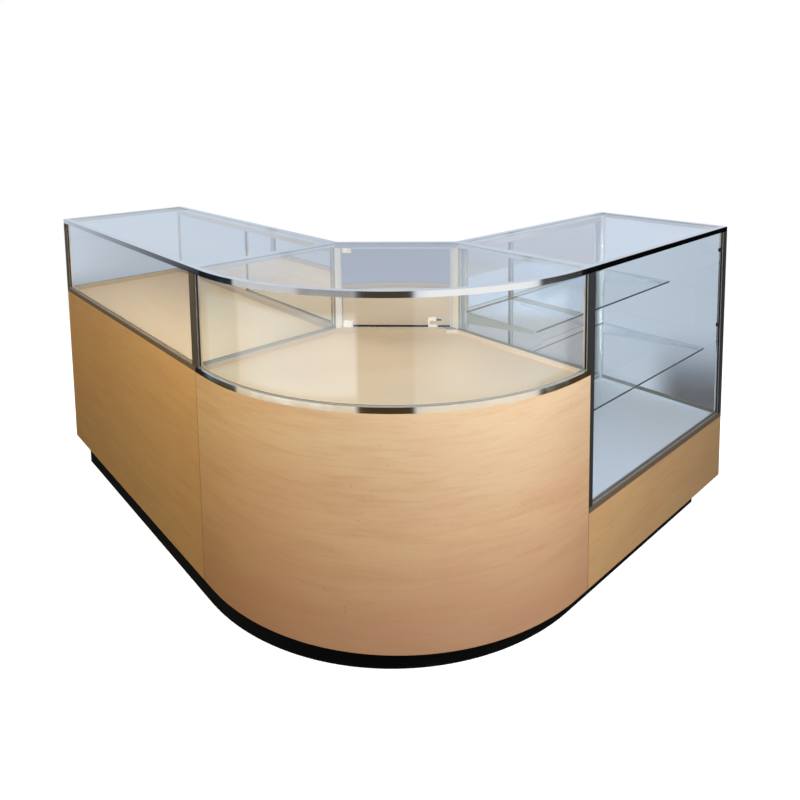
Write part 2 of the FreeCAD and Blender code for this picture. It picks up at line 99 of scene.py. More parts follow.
class DeskColours(bpy.types.PropertyGroup):
    """Colours of the desk's finishes"""

    maple_pale: colour("Maple, pale", "Ground of the maple", (0.755, 0.492, 0.258))
    maple_deep: colour("Maple, deep", "Streaks of the maple", (0.62, 0.335, 0.165))
    maple_rose: colour("Maple, rose", "Clouds in the maple", (0.73, 0.432, 0.234))
    maple_bleached: colour("Maple, bleached", "Faded decks", (0.605, 0.503, 0.368))
    # Painted shade on the corner deck towards its front
    maple_painted_front_shade: colour("Maple, painted front shade", "Corner deck towards its front", (0.48, 0.385, 0.268))
    maple_fleck: colour("Maple flecks", "Ticks in the maple", (0.36, 0.19, 0.08))
    maple_golden: colour("Maple, golden", "Both wings' fronts", (0.7, 0.42, 0.06))
    # Painted shade and light on the curved front: redder and darker towards its foot, paler towards
    # its top, as light falls from above
    maple_painted_foot_shade: colour("Maple, painted foot shade", "Curved front towards its foot", (0.58, 0.27, 0.15))
    maple_painted_top_light: colour("Maple, painted top light", "Curved front towards its top", (0.74, 0.66, 0.43))
    # Painted reflection: the white laminate is tinted blue, standing in for the bluish mirrors and
    # backdrop it reflects
    laminate: colour("White laminate", "Low deck and the bars on it", (0.8, 0.885, 0.97))
    lining: colour("Board lining", "Inside of the wooden bodies", (0.8, 0.79, 0.76))
    plinth: colour("Plinth", "Black plinth boards", (0.004, 0.004, 0.0044))
    scuff: colour("Plinth scuffs", "Scuffs near the floor", (0.07, 0.066, 0.06))
    metal: colour("Frame metal", "Polished frame bars", (0.9, 0.9, 0.89))
    warm_metal: colour("Warm metal", "Curved deck rail", (0.92, 0.84, 0.72))
    # Painted dark reflection: the fronts of the polished posts are painted nearly black, standing
    # in for the dark studio they mirror
    post: colour("Post fronts", "Posts before the right glass", (0.028, 0.027, 0.025))
    pale_post: colour("Pale posts", "Posts before the left glass", (0.09, 0.074, 0.054))
    # Beads have this colour of their own; the lines along the bars in it are painted shade
    bead: colour("Beads", "Beads and lines along the bars", (0.24, 0.235, 0.21))
    satin: colour("Satin rails", "Tracks and rails under mirror doors", (0.5, 0.455, 0.45))
    # Painted shade on the bars inside the cases: darker, tinted like the decks they stand on
    inner_bar: colour("Inner bars", "Bars on the wooden decks", (0.62, 0.52, 0.38))
    seam_bar: colour("Seam bar", "Bar by the right wing", (0.76, 0.71, 0.62))
    # Painted dark reflection on the front faces of the wings' deck rails
    dark_rail_reflection: colour("Dark rail reflection", "Deck rails of both wings", (0.19, 0.135, 0.085))
    cream: colour("Cream posts", "Posts beside the mirror door", (0.9, 0.87, 0.78))
    steel: colour("Plated steel", "Hinges, pulls, screws and bolts", (0.9, 0.91, 0.92))
    lacquer: colour("Pale lacquer", "Standards and their posts", (0.9, 0.96, 1.0))
    bracket: colour("Brackets", "Shelf brackets", (0.48, 0.56, 0.66))
    nylon: colour("Nylon", "Glides, clips and seals", (0.018, 0.018, 0.02))
    glass: colour("Glass", "What a face of a pane lets through", (0.978, 0.986, 0.984))
    glass_edge: colour("Shelf front", "Front edges of the shelves", (0.05, 0.085, 0.085))
    glass_end: colour("Shelf ends", "Other edges of the shelves", (0.8, 0.86, 0.88))
    mirror: colour("Mirror", "Face of the mirror doors", (0.86, 0.88, 0.9))
    mirror_back: colour("Mirror back", "Back of the mirror doors", (0.3, 0.31, 0.33))


class DeskSizes(bpy.types.PropertyGroup):
    """Sizes of the small trim"""

    board_edge: length("Board edge", "Eased edge of the boards", 0.0009)
    screw_radius: length("Screw radius", "Radius of the screw heads", 0.0027)
    screw_height: length("Screw height", "Rise of the screw heads", 0.0009)
    bead_width: length("Bead width", "Beads across the glass", 0.0013)
    bead_depth: length("Bead depth", "Beads out from the glass", 0.0013)
    seal_height: length("Seal height", "Depth of the brush seal", 0.0075)
    seal_width: length("Seal width", "Thickness of the brush seal", 0.0042)


class DeskStage(bpy.types.PropertyGroup):
    """Camera and light of the studio"""

    eye: FloatVectorProperty(
        name="Eye", description="Where the camera stands", subtype="TRANSLATION", unit="LENGTH",
        size=3, default=(1.9435, -1.5955, 1.42),
    )
    yaw: angle("Yaw", "Turn of the camera", 48.06)
    pitch: angle("Pitch", "How far it looks down", 5.52)
    roll: angle("Roll", "Lean of the camera", -0.75)
    lens: FloatProperty(
        name="Lens", description="Focal length", subtype="DISTANCE_CAMERA", default=29.87
    )
    rise: FloatProperty(name="Rise", description="Shift, as a share of the width", default=-0.28)
    key_power: power("Key", "Lamp before the right wing", 36.0)
    fill_power: power("Fill", "Lamp before the left wing", 16.8)
    rear_power: power("Rear", "Lamp on the staff side", 45.0)
    top_power: power("Top", "Lamp over the desk", 25.0)
    wing_power: power("Wing", "Lamp over the left wing", 10.0)
    side_power: power("Side", "Warm lamp by the far left end", 2.6)
    low_power: power("Low", "Warm lamp before the apron", 0.45)
    shelf_power: power("Shelf", "Narrow lamp along the shelves", 1.1)
    ambient: colour("Ambient", "Soft light from all round", (0.155, 0.118, 0.072))
    floor: colour("Floor", "Lights the desk from below", (0.09, 0.072, 0.054))
    backdrop: colour("Backdrop", "What glass and metal show", (0.62, 0.69, 0.8))


class Shade:
    """One value in a finish, with arithmetic that adds Math nodes"""

    def __init__(self, finish, socket):
        self.finish = finish
        self.socket = socket

    def calc(self, operation, *terms):
        return self.finish.node("ShaderNodeMath", {"operation": operation}, dict(enumerate(terms)))

    def larger(self, other):
        return self.calc("MAXIMUM", self, other)

    def __add__(self, other):
        return self.calc("ADD", self, other)

    __radd__ = __add__

    def __mul__(self, other):
        return self.calc("MULTIPLY", self, other)

    __rmul__ = __mul__

    def __sub__(self, other):
        return self.calc("SUBTRACT", self, other)

    def __rsub__(self, other):
        return self.calc("SUBTRACT", other, self)

    def __truediv__(self, other):
        return self.calc("DIVIDE", self, other)

    def __rtruediv__(self, other):
        return self.calc("DIVIDE", other, self)

    def __pow__(self, other):
        return self.calc("POWER", self, other)

    def __rpow__(self, other):
        return self.calc("POWER", other, self)

    def __abs__(self):
        return self.calc("ABSOLUTE", self)

    def __lt__(self, other):
        return self.calc("LESS_THAN", self, other)

    def __gt__(self, other):
        return self.calc("GREATER_THAN", self, other)


class Finish:
    """The node tree of one finish"""

    def __init__(self, tree, material=None):
        self.tree = tree
        self.material = material
        self.spot = None
        tree.nodes.clear()

    def node(self, kind, settings=None, values=None, output=0):
        """Adds a node: its settings first, then the links or values of its sockets.

        Plain colours are set opaque.
        """
        made = self.tree.nodes.new(kind)
        for key, setting in (settings or {}).items():
            setattr(made, key, setting)
        for key, value in (values or {}).items():
            socket = made.inputs[key]
            if isinstance(value, Shade):
                self.tree.links.new(value.socket, socket)
            elif socket.type == "RGBA":
                socket.default_value = (*value[:3], 1.0)
            else:
                socket.default_value = value
        return Shade(self, made.outputs[output]) if len(made.outputs) else made

    def mix(self, factor, low, high):
        """Colour between two colours."""
        return self.node("ShaderNodeMix", {"data_type": "RGBA"}, {0: factor, 6: low, 7: high}, 2)

    def toned(self, factor, tone, share):
        """Colour that turns darker or paler with a factor."""
        return self.mix(factor, tone, shaded(tone, share))

    def over(self, tone, *parts):
        """Colour with others laid over it in turn, each with how far it shows."""
        for share, other in parts:
            tone = self.mix(share, tone, other)
        return tone

    def blend(self, factor, low, high):
        """Shader between two shaders."""
        return self.node("ShaderNodeMixShader", None, {0: factor, 1: low, 2: high})

    def ramp(self, value, low, high):
        """0 below low, 1 above high, smooth between; turned round where low is the larger."""
        values = {0: value, 1: low, 2: high}
        if low > high:
            values = {0: value, 1: high, 2: low, 3: 1.0, 4: 0.0}
        return self.node("ShaderNodeMapRange", {"interpolation_type": "SMOOTHSTEP"}, values)

    def split(self, vector):
        """The three parts of a vector."""
        made = self.node("ShaderNodeSeparateXYZ", None, {0: vector})
        return [Shade(self, socket) for socket in made.socket.node.outputs]

    def join(self, x, y, z):
        """A vector of three parts."""
        return self.node("ShaderNodeCombineXYZ", None, {0: x, 1: y, 2: z})

    def along(self, vector, way):
        """How far a vector reaches in a direction."""
        dot = {"operation": "DOT_PRODUCT"}
        return self.node("ShaderNodeVectorMath", dot, {0: vector, 1: way}, "Value")

    def place(self):
        """Where a point lies on the resting desk, in metres."""
        if not self.spot:
            self.spot = self.split(self.node("ShaderNodeTexCoord", output="Object"))
        return self.spot

    def from_bend(self):
        """How far a point lies from the middle of the bend, in x and y."""
        x, y, z = self.place()
        return x - bend_centre[0], y - bend_centre[1]

    def facing(self, way):
        """How far a face turns towards a direction of the resting desk, from -1 to 1."""
        return self.along(self.node("ShaderNodeTexCoord", output="Normal"), way)

    def path(self, output):
        """What kind of ray looks at a point."""
        return self.node("ShaderNodeLightPath", output=output)

    def noise(self, x, y, z, detail=2.0, roughness=0.5, distortion=0.0):
        """Cloudy pattern over three coordinates, about 0.5."""
        values = {"Vector": self.join(x, y, z), "Scale": 1.0, "Detail": detail}
        values.update({"Roughness": roughness, "Distortion": distortion})
        return self.node("ShaderNodeTexNoise", None, values, "Fac")

    def clouds(self, scale, detail=2.0, roughness=0.5, up=None):
        """Cloudy pattern of one scale, or with another scale upward."""
        x, y, z = self.place()
        return self.noise(x * scale, y * scale, z * (up or scale), detail, roughness)

    def bump(self, height, depth, strength):
        """A surface normal for a height pattern."""
        values = {"Strength": strength, "Distance": depth, "Height": height}
        return self.node("ShaderNodeBump", None, values)

    def clear(self, tone):
        """A surface that only tints what is behind it."""
        return self.node("ShaderNodeBsdfTransparent", None, {"Color": tone})

    def surface(self, **sockets):
        """A plain lit surface."""
        values = {key.replace("_", " "): value for key, value in sockets.items()}
        return self.node("ShaderNodeBsdfPrincipled", None, values)

    def show(self, shader, kind="ShaderNodeOutputMaterial"):
        """Makes a shader what is seen."""
        self.node(kind, None, {"Surface": shader})

    def lit(self, look, rough, bump, **more):
        """Shows a lit surface and gives its material. bump: height pattern, depth, strength."""
        normal = self.bump(*bump)
        self.show(self.surface(Base_Color=look, Roughness=rough, Normal=normal, **more))
        return self.material


def new_finish(name):
    """The empty node tree of a new material."""
    material = bpy.data.materials.new(name)
    material.use_nodes = True
    return Finish(material.node_tree, material)


def hue(name):
    """A finish's colour by name."""
    return getattr(bpy.context.scene.desk_colours, name)


def shaded(tone, share):
    """A colour made darker or paler."""
    return [n * share for n in tone[:3]]


def grain_run(finish, run):
    """Coordinates along and across the grain for boards whose grain runs a given way."""
    x, y, z = finish.place()
    if run == "length":
        return x, y, z
    if run == "depth":
        return y, x, z
    if run == "chord":
        return (x + y) * half_turn, (y - x) * half_turn, z
    dx, dy = finish.from_bend()
    turn = finish.node("ShaderNodeMath", {"operation": "ARCTAN2"}, {0: dy, 1: dx})
    return turn * bend_radius, (dx * dx + dy * dy) ** 0.5, z


def maple_look(finish, run, offset, faded=0.0, washes=()):
    """Colour, roughness and height of maple laminate, faded towards its bleached tone.

    washes: tones that come up between two heights, each with the heights, its name and its share.
    """
    u, v, w = grain_run(finish, run)
    u = u + offset
    sway = finish.noise(u * 2.3, v * 5.0, w * 5.0, 1.0)
    v = v + sway * 0.02
    w = w + sway * 0.03
    clouds = finish.noise(u * 3.4, v * 7.0, w * 7.0, 2.0, 0.55)
    bands = finish.noise(u * 2.4, v * 24.0, w * 24.0, 3.0, 0.6, 0.9)
    lines = finish.noise(u * 8.0, v * 85.0, w * 85.0, 3.0, 0.65, 0.5)
    fibres = finish.noise(u * 16.0, v * 330.0, w * 330.0, 2.0, 0.6)
    ticks = finish.noise(u * 95.0, v * 260.0, w * 260.0, 1.0, 0.4)
    rosy = finish.ramp(clouds, 0.38, 0.72) * 0.8
    ground = finish.mix(rosy, hue("maple_pale"), hue("maple_rose"))
    if faded:
        ground = finish.mix(faded, ground, hue("maple_bleached"))
    for start, end, tone, share in washes:
        ground = finish.mix(finish.ramp(finish.place()[2], start, end) * share, ground, hue(tone))
    figure = 1.0 - 0.8 * faded
    streaks = ((bands, 0.44, 0.76, 0.42), (lines, 0.44, 0.76, 0.36), (fibres, 0.5, 0.85, 0.2))
    for pattern, start, end, share in streaks:
        streak = finish.ramp(pattern, start, end) * (share * figure)
        ground = finish.mix(streak, ground, hue("maple_deep"))
    sparse = finish.ramp(ticks, 0.68, 0.78) * finish.ramp(bands, 0.44, 0.6)
    ground = finish.mix(sparse * (0.4 * figure), ground, hue("maple_fleck"))
    roughness = 0.34 + 0.1 * lines + 0.08 * clouds
    return ground, roughness, fibres * 0.7 + lines * 0.3


def maple(name, run, offset=0.0, faded=0.0, wear_and_shade=None, seams=(), washes=()):
    """Maple laminate with its grain running one way.

    wear_and_shade: two distances from the middle of the bend, between which the deck turns darker,
    a painted shade towards its front.
    seams: ends beside a seam, each an axis and the end's place along it.
    """
    finish = new_finish(name)
    ground, roughness, height = maple_look(finish, run, offset, faded, washes)
    # Painted shade: the deck is painted darker towards its front
    if wear_and_shade:
        dx, dy = finish.from_bend()
        share = finish.ramp((dx * dx + dy * dy) ** 0.5, *wear_and_shade)
        ground = finish.mix(share, ground, hue("maple_painted_front_shade"))
    for axis, end in seams:
        joint = finish.ramp(abs(finish.place()[axis] - end), 0.0017, 0.0012)
        ground = finish.mix(joint, ground, hue("maple_fleck"))
    return finish.lit(ground, roughness, (height, 0.00005, 0.25 * (1.0 - faded)))


def lined_boards(name, run, outside, offset):
    """Pale-lined boards whose outer faces and rear edges are maple.

    outside: directions whose outermost faces are maple, each with how far out these lie.
    """
    slack = 0.001
    finish = new_finish(name)
    ground, roughness, height = maple_look(finish, run, offset)
    place = finish.join(*finish.place())
    shown = None
    for way, reach in outside:
        outermost = finish.along(place, way) > reach - slack
        part = finish.ramp(finish.facing(way), 0.6, 0.8) * outermost
        shown = shown.larger(part) if shown else part
    cloud = finish.clouds(6.0, 3.0)
    grit = finish.clouds(900.0, 1.0)
    paper = finish.toned(cloud * 0.5, hue("lining"), 0.86)
    whole = finish.mix(shown, paper, ground)
    rough = 0.46 + 0.1 * cloud
    rough = rough + shown * (roughness - rough)
    bumps = grit + shown * (height - grit)
    return finish.lit(whole, rough, (bumps, 0.0001, 0.5), Specular_IOR_Level=0.25)


def pale_laminate(name):
    """Pale satin laminate of the low deck, tinted blue as a painted reflection."""
    finish = new_finish(name)
    cloud = finish.clouds(5.0, 3.0, 0.55)
    grit = finish.clouds(800.0, 1.0)
    look = finish.toned(cloud * 0.45, hue("laminate"), 0.88)
    return finish.lit(look, 0.3 + 0.16 * cloud, (grit, 0.00008, 0.4))


def black_boards(name):
    """Black plinth laminate, scuffed near the floor."""
    finish = new_finish(name)
    cloud = finish.clouds(9.0, 3.0, 0.6, 14.0)
    scuff = finish.clouds(30.0, 3.0, 0.7, 160.0)
    low = finish.ramp(finish.place()[2], 0.05, 0.0)
    wear_and_shade = finish.ramp(scuff, 0.6, 0.72) * low * cloud
    look = finish.mix(wear_and_shade * 0.5, hue("plinth"), hue("scuff"))
    rough = 0.42 + 0.2 * cloud + wear_and_shade * 0.2
    return finish.lit(look, rough, (scuff, 0.0001, 0.4), Specular_IOR_Level=0.06)


def bright_bar(name, *parts):
    """Polished frame bars with faint drawing lines and hand marks.

    parts: places with another tone, each a function that tells how far a point is there,
    the tone's name and whether it is satin.
    """
    finish = new_finish(name)
    marks = finish.clouds(14.0, 3.0, 0.6)
    drawn = finish.clouds(420.0)
    look = finish.toned(finish.ramp(marks, 0.45, 0.75) * 0.5, hue("metal"), 0.88)
    rough = 0.05 + 0.06 * finish.ramp(marks, 0.4, 0.8) + 0.03 * drawn
    metal = 1.0
    for there, tone, satin in parts:
        share = there(finish)
        look = finish.mix(share, look, hue(tone))
        if satin:
            rough = rough + share * 0.38
            metal = metal - share * 0.8
    return finish.lit(look, rough, (drawn, 0.00002, 0.3), Metallic=metal)


def all_over(finish):
    """Nearly 1 everywhere."""
    return abs(finish.facing((0, 0, 1))) * 0.2 + 0.8


def pale_lacquer(name, tone):
    """Pale lacquered metal."""
    finish = new_finish(name)
    cloud = finish.clouds(20.0, 3.0, 0.6)
    grit = finish.clouds(900.0, 1.0)
    look = finish.toned(cloud * 0.5, hue(tone), 0.9)
    return finish.lit(look, 0.3 + 0.12 * cloud, (grit, 0.00003, 0.3))


def plated_steel(name, nylon_below=None):
    """Bright plated fittings; below a height they are black nylon glides."""
    finish = new_finish(name)
    marks = finish.clouds(45.0, 3.0, 0.6)
    grain = finish.clouds(700.0, up=90.0)
    look = finish.toned(marks * 0.4, hue("steel"), 0.8)
    rough = 0.1 + 0.14 * marks
    metal = 1.0
    if nylon_below is not None:
        metal = finish.ramp(finish.place()[2], nylon_below - 0.0005, nylon_below + 0.0005)
        look = finish.mix(metal, hue("nylon"), look)
        rough = rough + (1.0 - metal) * 0.35
    return finish.lit(look, rough, (grain, 0.00003, 0.3), Metallic=metal)


def black_nylon(name, ribs=False):
    """Moulded nylon; ribs stand for a brush's bristles."""
    finish = new_finish(name)
    grain = finish.clouds(1600.0, 1.0, up=40.0 if ribs else None)
    look = finish.toned(grain * 0.6, hue("nylon"), 2.2)
    return finish.lit(look, 0.45 + 0.2 * finish.clouds(60.0), (grain, 0.0002, 0.6))


def clear_pane(name, edge_way=None):
    """Clear glass. Only a pane's entry face mirrors, for both of its faces.

    edge_way: direction of the broad faces, where cut edges show.
    """
    finish = new_finish(name)
    rough = 0.01 + 0.03 * finish.ramp(finish.clouds(7.0, 3.0, 0.6), 0.5, 0.8)
    gloss = finish.surface(Base_Color=(1.0, 1.0, 1.0), Metallic=1.0, Roughness=rough)
    share = finish.node("ShaderNodeFresnel", None, {"IOR": 1.5})
    back = finish.node("ShaderNodeNewGeometry", output="Backfacing")
    share = (1.0 - back) * share * 2.0 / (1.0 + share)
    pane = finish.blend(share, finish.clear(hue("glass")), gloss)
    if edge_way is not None:
        edge = finish.ramp(abs(finish.facing(edge_way)), 0.6, 0.4)
        front = finish.ramp(finish.facing((1, 0, 0)), 0.5, 0.7)
        cut = finish.surface(Base_Color=hue("glass_edge"), Roughness=rough + 0.1)
        pane = finish.blend(edge, pane, finish.blend(front, finish.clear(hue("glass_end")), cut))
    finish.show(pane)
    return finish.material


def silvered(name, front):
    """Mirror glass: silvered, with polished edges, and painted behind."""
    finish = new_finish(name)
    behind = finish.ramp(finish.facing(front), -0.5, -0.7)
    paint = finish.clouds(240.0, up=30.0)
    strokes = finish.clouds(16.0, 3.0, 0.6, 1.8)
    brushed = paint * 0.2 + finish.ramp(strokes, 0.35, 0.75) * 0.6
    coat = finish.toned(brushed, hue("mirror_back"), 1.45)
    look = finish.mix(behind, hue("mirror"), coat)
    rough = 0.012 + 0.02 * finish.ramp(finish.clouds(6.0, 3.0, 0.6), 0.5, 0.8)
    rough = rough + behind * (0.5 + 0.1 * paint - rough)
    return finish.lit(look, rough, (paint * behind, 0.00006, 0.4), Metallic=1.0 - behind)


def lay_on(material, *names):
    """Gives nodes their finish."""
    for name in names:
        node = frame["nodes"][name]
        if not node.material_slots:
            node.data.materials.append(material)
        for slot in node.material_slots:
            slot.material = material


def ease_edges(width, *names):
    """Rounds the edges of boards by a small radius."""
    for name in names:
        node = frame["nodes"][name]
        weld = node.modifiers.new("close", "WELD")
        weld.merge_threshold = 0.00002
        bevel = node.modifiers.new("eased", "BEVEL")
        bevel.width = width
        bevel.segments = 2
        bevel.limit_method = "ANGLE"
        bevel.angle_limit = math.radians(40)
        bevel.use_clamp_overlap = True
        node.modifiers.new("even", "WEIGHTED_NORMAL").keep_sharp = True


def to_object(name, mesh, material):
    """An object in the scene for a finished mesh."""
    data = bpy.data.meshes.new(name)
    mesh.to_mesh(data)
    mesh.free()
    data.materials.append(material)
    made = bpy.data.objects.new(name, data)
    bpy.context.scene.collection.objects.link(made)
    return made


def add_piece(name, mesh, material, body):
    """Puts a finished mesh on the desk."""
    bmesh.ops.recalc_face_normals(mesh, faces=mesh.faces)
    made = to_object(name, mesh, material)
    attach(made, body)


def skin(mesh, low, high):
    """Faces between two closed rings of vertices."""
    for i in range(len(low)):
        j = (i + 1) % len(low)
        mesh.faces.new((low[i], low[j], high[j], high[i]))


def ring(mesh, centre, side, up, sides):
    """A ring of vertices; side and up are its radius in two directions."""
    turns = [math.tau * i / sides for i in range(sides)]
    return [mesh.verts.new(centre + side * math.cos(a) + up * math.sin(a)) for a in turns]


def turned(mesh, centre, way, profile, sides=18):
    """A turned shape: rings of radius and rise about an axis, closed at both ends."""
    out = Vector(way).normalized()
    side = out.orthogonal().normalized()
    up = out.cross(side)
    rings = []
    for radius, rise in profile:
        rings.append(ring(mesh, centre + out * rise, side * radius, up * radius, sides))
    for low, high in zip(rings, rings[1:]):
        skin(mesh, low, high)
    mesh.faces.new(rings[-1])
    mesh.faces.new(rings[0])


def bead(mesh, path, width, depth):
    """A bead round an opening.

    path: points on a pane's face, each with its way into the opening and its way off the face.
    """
    section = ((0.0, 0.0), (0.0, depth), (width * 0.55, depth * 0.8), (width, 0.0))
    rings = []
    for spot, way, out in path:
        rings.append([mesh.verts.new(spot + way * a + out * b) for a, b in section])
    for low, high in zip(rings, rings[1:] + rings[:1]):
        skin(mesh, low, high)


def spots_of(name):
    """Where a node's vertices lie."""
    node = frame["nodes"][name]
    return [node.matrix_world @ vertex.co for vertex in node.data.vertices]


def box_round(spots):
    """Lowest and highest corner of some points."""
    parts = list(zip(*spots))
    return Vector([min(part) for part in parts]), Vector([max(part) for part in parts])


def rear_point(along, out, z):
    """A point in the corner's rear axes: along the rear face, out to the staff side, up."""
    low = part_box("left_deck")[1]
    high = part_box("right_deck")[0]
    middle = Vector(((bend_low.x + high.x) / 2, (low.y + bend_high.y) / 2, z))
    return middle + chord * along + rearward * out


def outer_faces(name, *ways):
    """Directions of a node's outermost faces, each with how far out these lie."""
    low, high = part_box(name)
    return [(way, max(low.dot(Vector(way)), high.dot(Vector(way)))) for way in ways]


class DESK_OT_woodwork(bpy.types.Operator):
    """Maple panels, decks, doors and the lined wooden bodies"""

    bl_idname = "desk.woodwork"
    bl_label = "Woodwork"

    def execute(self, context):
        seams = ((0, bend_low.x), (1, bend_high.y))
        golden = ((1.0, 0.9, "maple_golden", 0.26),)
        # Painted shade towards the curved front's foot and painted light towards its top
        painted_foot_shade_and_top_light = ((0.42, 0.06, "maple_painted_foot_shade", 0.5), (0.3, 0.7, "maple_painted_top_light", 0.3))
        left_front = maple("maple_left_wing", "length", seams=seams[:1], washes=golden)
        lay_on(left_front, "left_front_panel")
        bent_front = maple("maple_bent_front", "bend", 3.7, seams=seams, washes=painted_foot_shade_and_top_light)
        lay_on(bent_front, "corner_front_panel")
        apron = maple("maple_apron", "depth", 6.1, seams=seams[1:], washes=golden)
        lay_on(apron, "right_apron")
        lay_on(maple("maple_left_deck", "length", 9.3, 0.8), "left_deck")
        # The corner deck gets painted shade towards its front
        lay_on(maple("maple_corner_deck", "chord", 12.9, 0.8, (0.3, 0.66)), "corner_deck")
        left_doors = maple("maple_left_doors", "length", 17.0)
        lay_on(left_doors, "left_storage_inner", "left_storage_outer")
        lay_on(maple("maple_corner_door", "chord", 21.0), "corner_storage_door")
        lay_on(pale_laminate("low_deck"), "right_deck")
        rear = (tuple(rearward), rearward.dot(rear_point(0.0, 0.0, 0.0)))
        left, back, up = (-1, 0, 0), (0, 1, 0), (0, 0, 1)
        boards = (
            ("left_boards", "left_carcass", "depth", 2.0, (left, back, up), []),
            ("right_boards", "right_carcass", "depth", 5.0, (back, left, up), []),
            ("corner_boards", "corner_carcass", "chord", 8.0, (up,), [rear]),
            ("storage_shelves", "left_storage_shelves", "length", 4.0, (back,), []),
        )
        for name, node, run, offset, ways, more in boards:
            lay_on(lined_boards(name, run, more + outer_faces(node, *ways), offset), node)
        eased = ("left_front_panel", "corner_front_panel", "right_apron", "left_storage_shelves")
        ease_edges(context.scene.desk_sizes.board_edge, *eased, "corner_storage_door")
        return {"FINISHED"}


class DESK_OT_plinths(bpy.types.Operator):
    """Black set-back plinths"""

    bl_idname = "desk.plinths"
    bl_label = "Plinths"

    def execute(self, context):
        lay_on(black_boards("plinth_black"), "left_plinth", "corner_plinth", "right_plinth")
        return {"FINISHED"}


class DESK_OT_frames(bpy.types.Operator):
    """Polished posts, rails and door tracks"""

    bl_idname = "desk.frames"
    bl_label = "Frames"

    def execute(self, context):
        bar = 0.018
        post_front = 0.7 * bar
        front_lip = 0.0105
        low_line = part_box("right_deck_rails")[1].z - 0.007
        high_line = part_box("corner_deck_rails")[1].z - 0.003

        def inset(finish):
            """How far a point lies behind the desk's front."""
            x, y, z = finish.place()
            dx = (x - bend_centre[0]).larger(0.0)
            dy = (bend_centre[1] - y).larger(0.0)
            return bend_radius - (dx * dx + dy * dy) ** 0.5

        def before(depth):
            """Nearer to the front than a depth."""
            return lambda finish: inset(finish) < depth

        def behind(depth):
            """Further behind the front than a depth."""
            return lambda finish: inset(finish) > depth

        def left_front(finish):
            """Fronts of the posts on the left wing's side, where a painted dark reflection goes."""
            return before(post_front)(finish) * (finish.place()[0] < bend_centre[0])

        def beyond(there, axis, start):
            """The part of another place that lies past a start along an axis."""
            return lambda finish: there(finish) * (finish.place()[axis] > start)

        inner, rear, under_doors = behind(front_lip), behind(0.3), behind(0.46)
        # Painted shade on the corner's bar beside the right wing
        by_right_wing = beyond(inner, 1, bend_high.y - 2.0 * bar)
        # Painted shade lines along the tops of the bars, in the beads' colour
        shade_line_by_right_wing = beyond(by_right_wing, 2, high_line)
        shade_line_above_deck = beyond(inner, 2, low_line)
        # Painted dark reflection on the fronts of the posts
        front_post = (before(post_front), "post", True)
        # Painted dark reflection on the deck rails' front faces
        front_rail = (before(front_lip), "dark_rail_reflection", True)
        # Painted shade on the bars inside the cases, tinted like the maple decks
        inner_bars_painted_shade = (inner, "inner_bar", True)
        tones = {
            "left_posts": [(before(post_front), "pale_post", True)],
            "corner_posts": [front_post, (left_front, "pale_post", False), (rear, "cream", True)],
            "right_posts": [front_post, (rear, "lacquer", True)],
            "left_deck_rails": [front_rail, inner_bars_painted_shade, (under_doors, "satin", False)],
            "corner_deck_rails": [
                (before(front_lip), "warm_metal", False), inner_bars_painted_shade,
                (by_right_wing, "seam_bar", False), (shade_line_by_right_wing, "bead", False),
            ],
            "right_deck_rails": [
                front_rail, (inner, "laminate", True), (shade_line_above_deck, "bead", False),
            ],
        }
        for node, parts in tones.items():
            lay_on(bright_bar(node, *parts), node)
        polished = bright_bar("polished_rails")
        lay_on(polished, "left_top_rails", "corner_top_rails", "right_top_rails")
        tracks = bright_bar("tracks", (all_over, "satin", True))
        lay_on(tracks, "left_mirror_tracks", "right_mirror_tracks", "left_storage_tracks")
        return {"FINISHED"}


class DESK_OT_panes(bpy.types.Operator):
    """Clear panes and glass shelves"""

    bl_idname = "desk.panes"
    bl_label = "Panes"

    def execute(self, context):
        clear = clear_pane("clear_panes")
        for wing in ("left", "right"):
            lay_on(clear, wing + "_front_glass", wing + "_end_glass", wing + "_top_glass")
        lay_on(clear, "corner_bent_glass", "corner_seam_glass", "corner_top_glass")
        shelves = clear_pane("shelf_glass", (0, 0, 1))
        lay_on(shelves, "right_lower_shelf", "right_upper_shelf")
        return {"FINISHED"}


class DESK_OT_mirrors(bpy.types.Operator):
    """Silvered doors at the back of the cases"""

    bl_idname = "desk.mirrors"
    bl_label = "Mirror doors"

    def execute(self, context):
        for wing, front in (("left", (0, -1, 0)), ("right", (1, 0, 0))):
            doors = silvered(wing + "_mirrors", front)
            lay_on(doors, wing + "_mirror_inner", wing + "_mirror_outer")
        lay_on(silvered("corner_mirror", tuple(-rearward)), "corner_mirror_door")
        return {"FINISHED"}


class DESK_OT_fittings(bpy.types.Operator):
    """Pulls, glides, hinges, lock, shelf standards, brackets, clips and bolts"""

    bl_idname = "desk.fittings"
    bl_label = "Fittings"

    def execute(self, context):
        plain = plated_steel("plated_steel")
        lay_on(plain, "corner_lock_plug", "corner_storage_hinges", "corner_storage_fittings")
        lay_on(plain, "seam_bolts")
        lay_on(pale_lacquer("pale_lacquer", "lacquer"), "right_standards")
        lay_on(pale_lacquer("bracket_lacquer", "bracket"), "right_brackets")
        lay_on(pale_lacquer("cream_lacquer", "cream"), "corner_mirror_fittings")
        for leaf in ("left_mirror", "right_mirror", "left_storage"):
            glides_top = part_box(leaf + "_inner")[0].z + 0.002
            pulls = plated_steel(leaf + "_pulls", glides_top)
            lay_on(pulls, leaf + "_inner_fittings", leaf + "_outer_fittings")
        lay_on(black_nylon("black_nylon"), "right_glazing_clips")
        return {"FINISHED"}


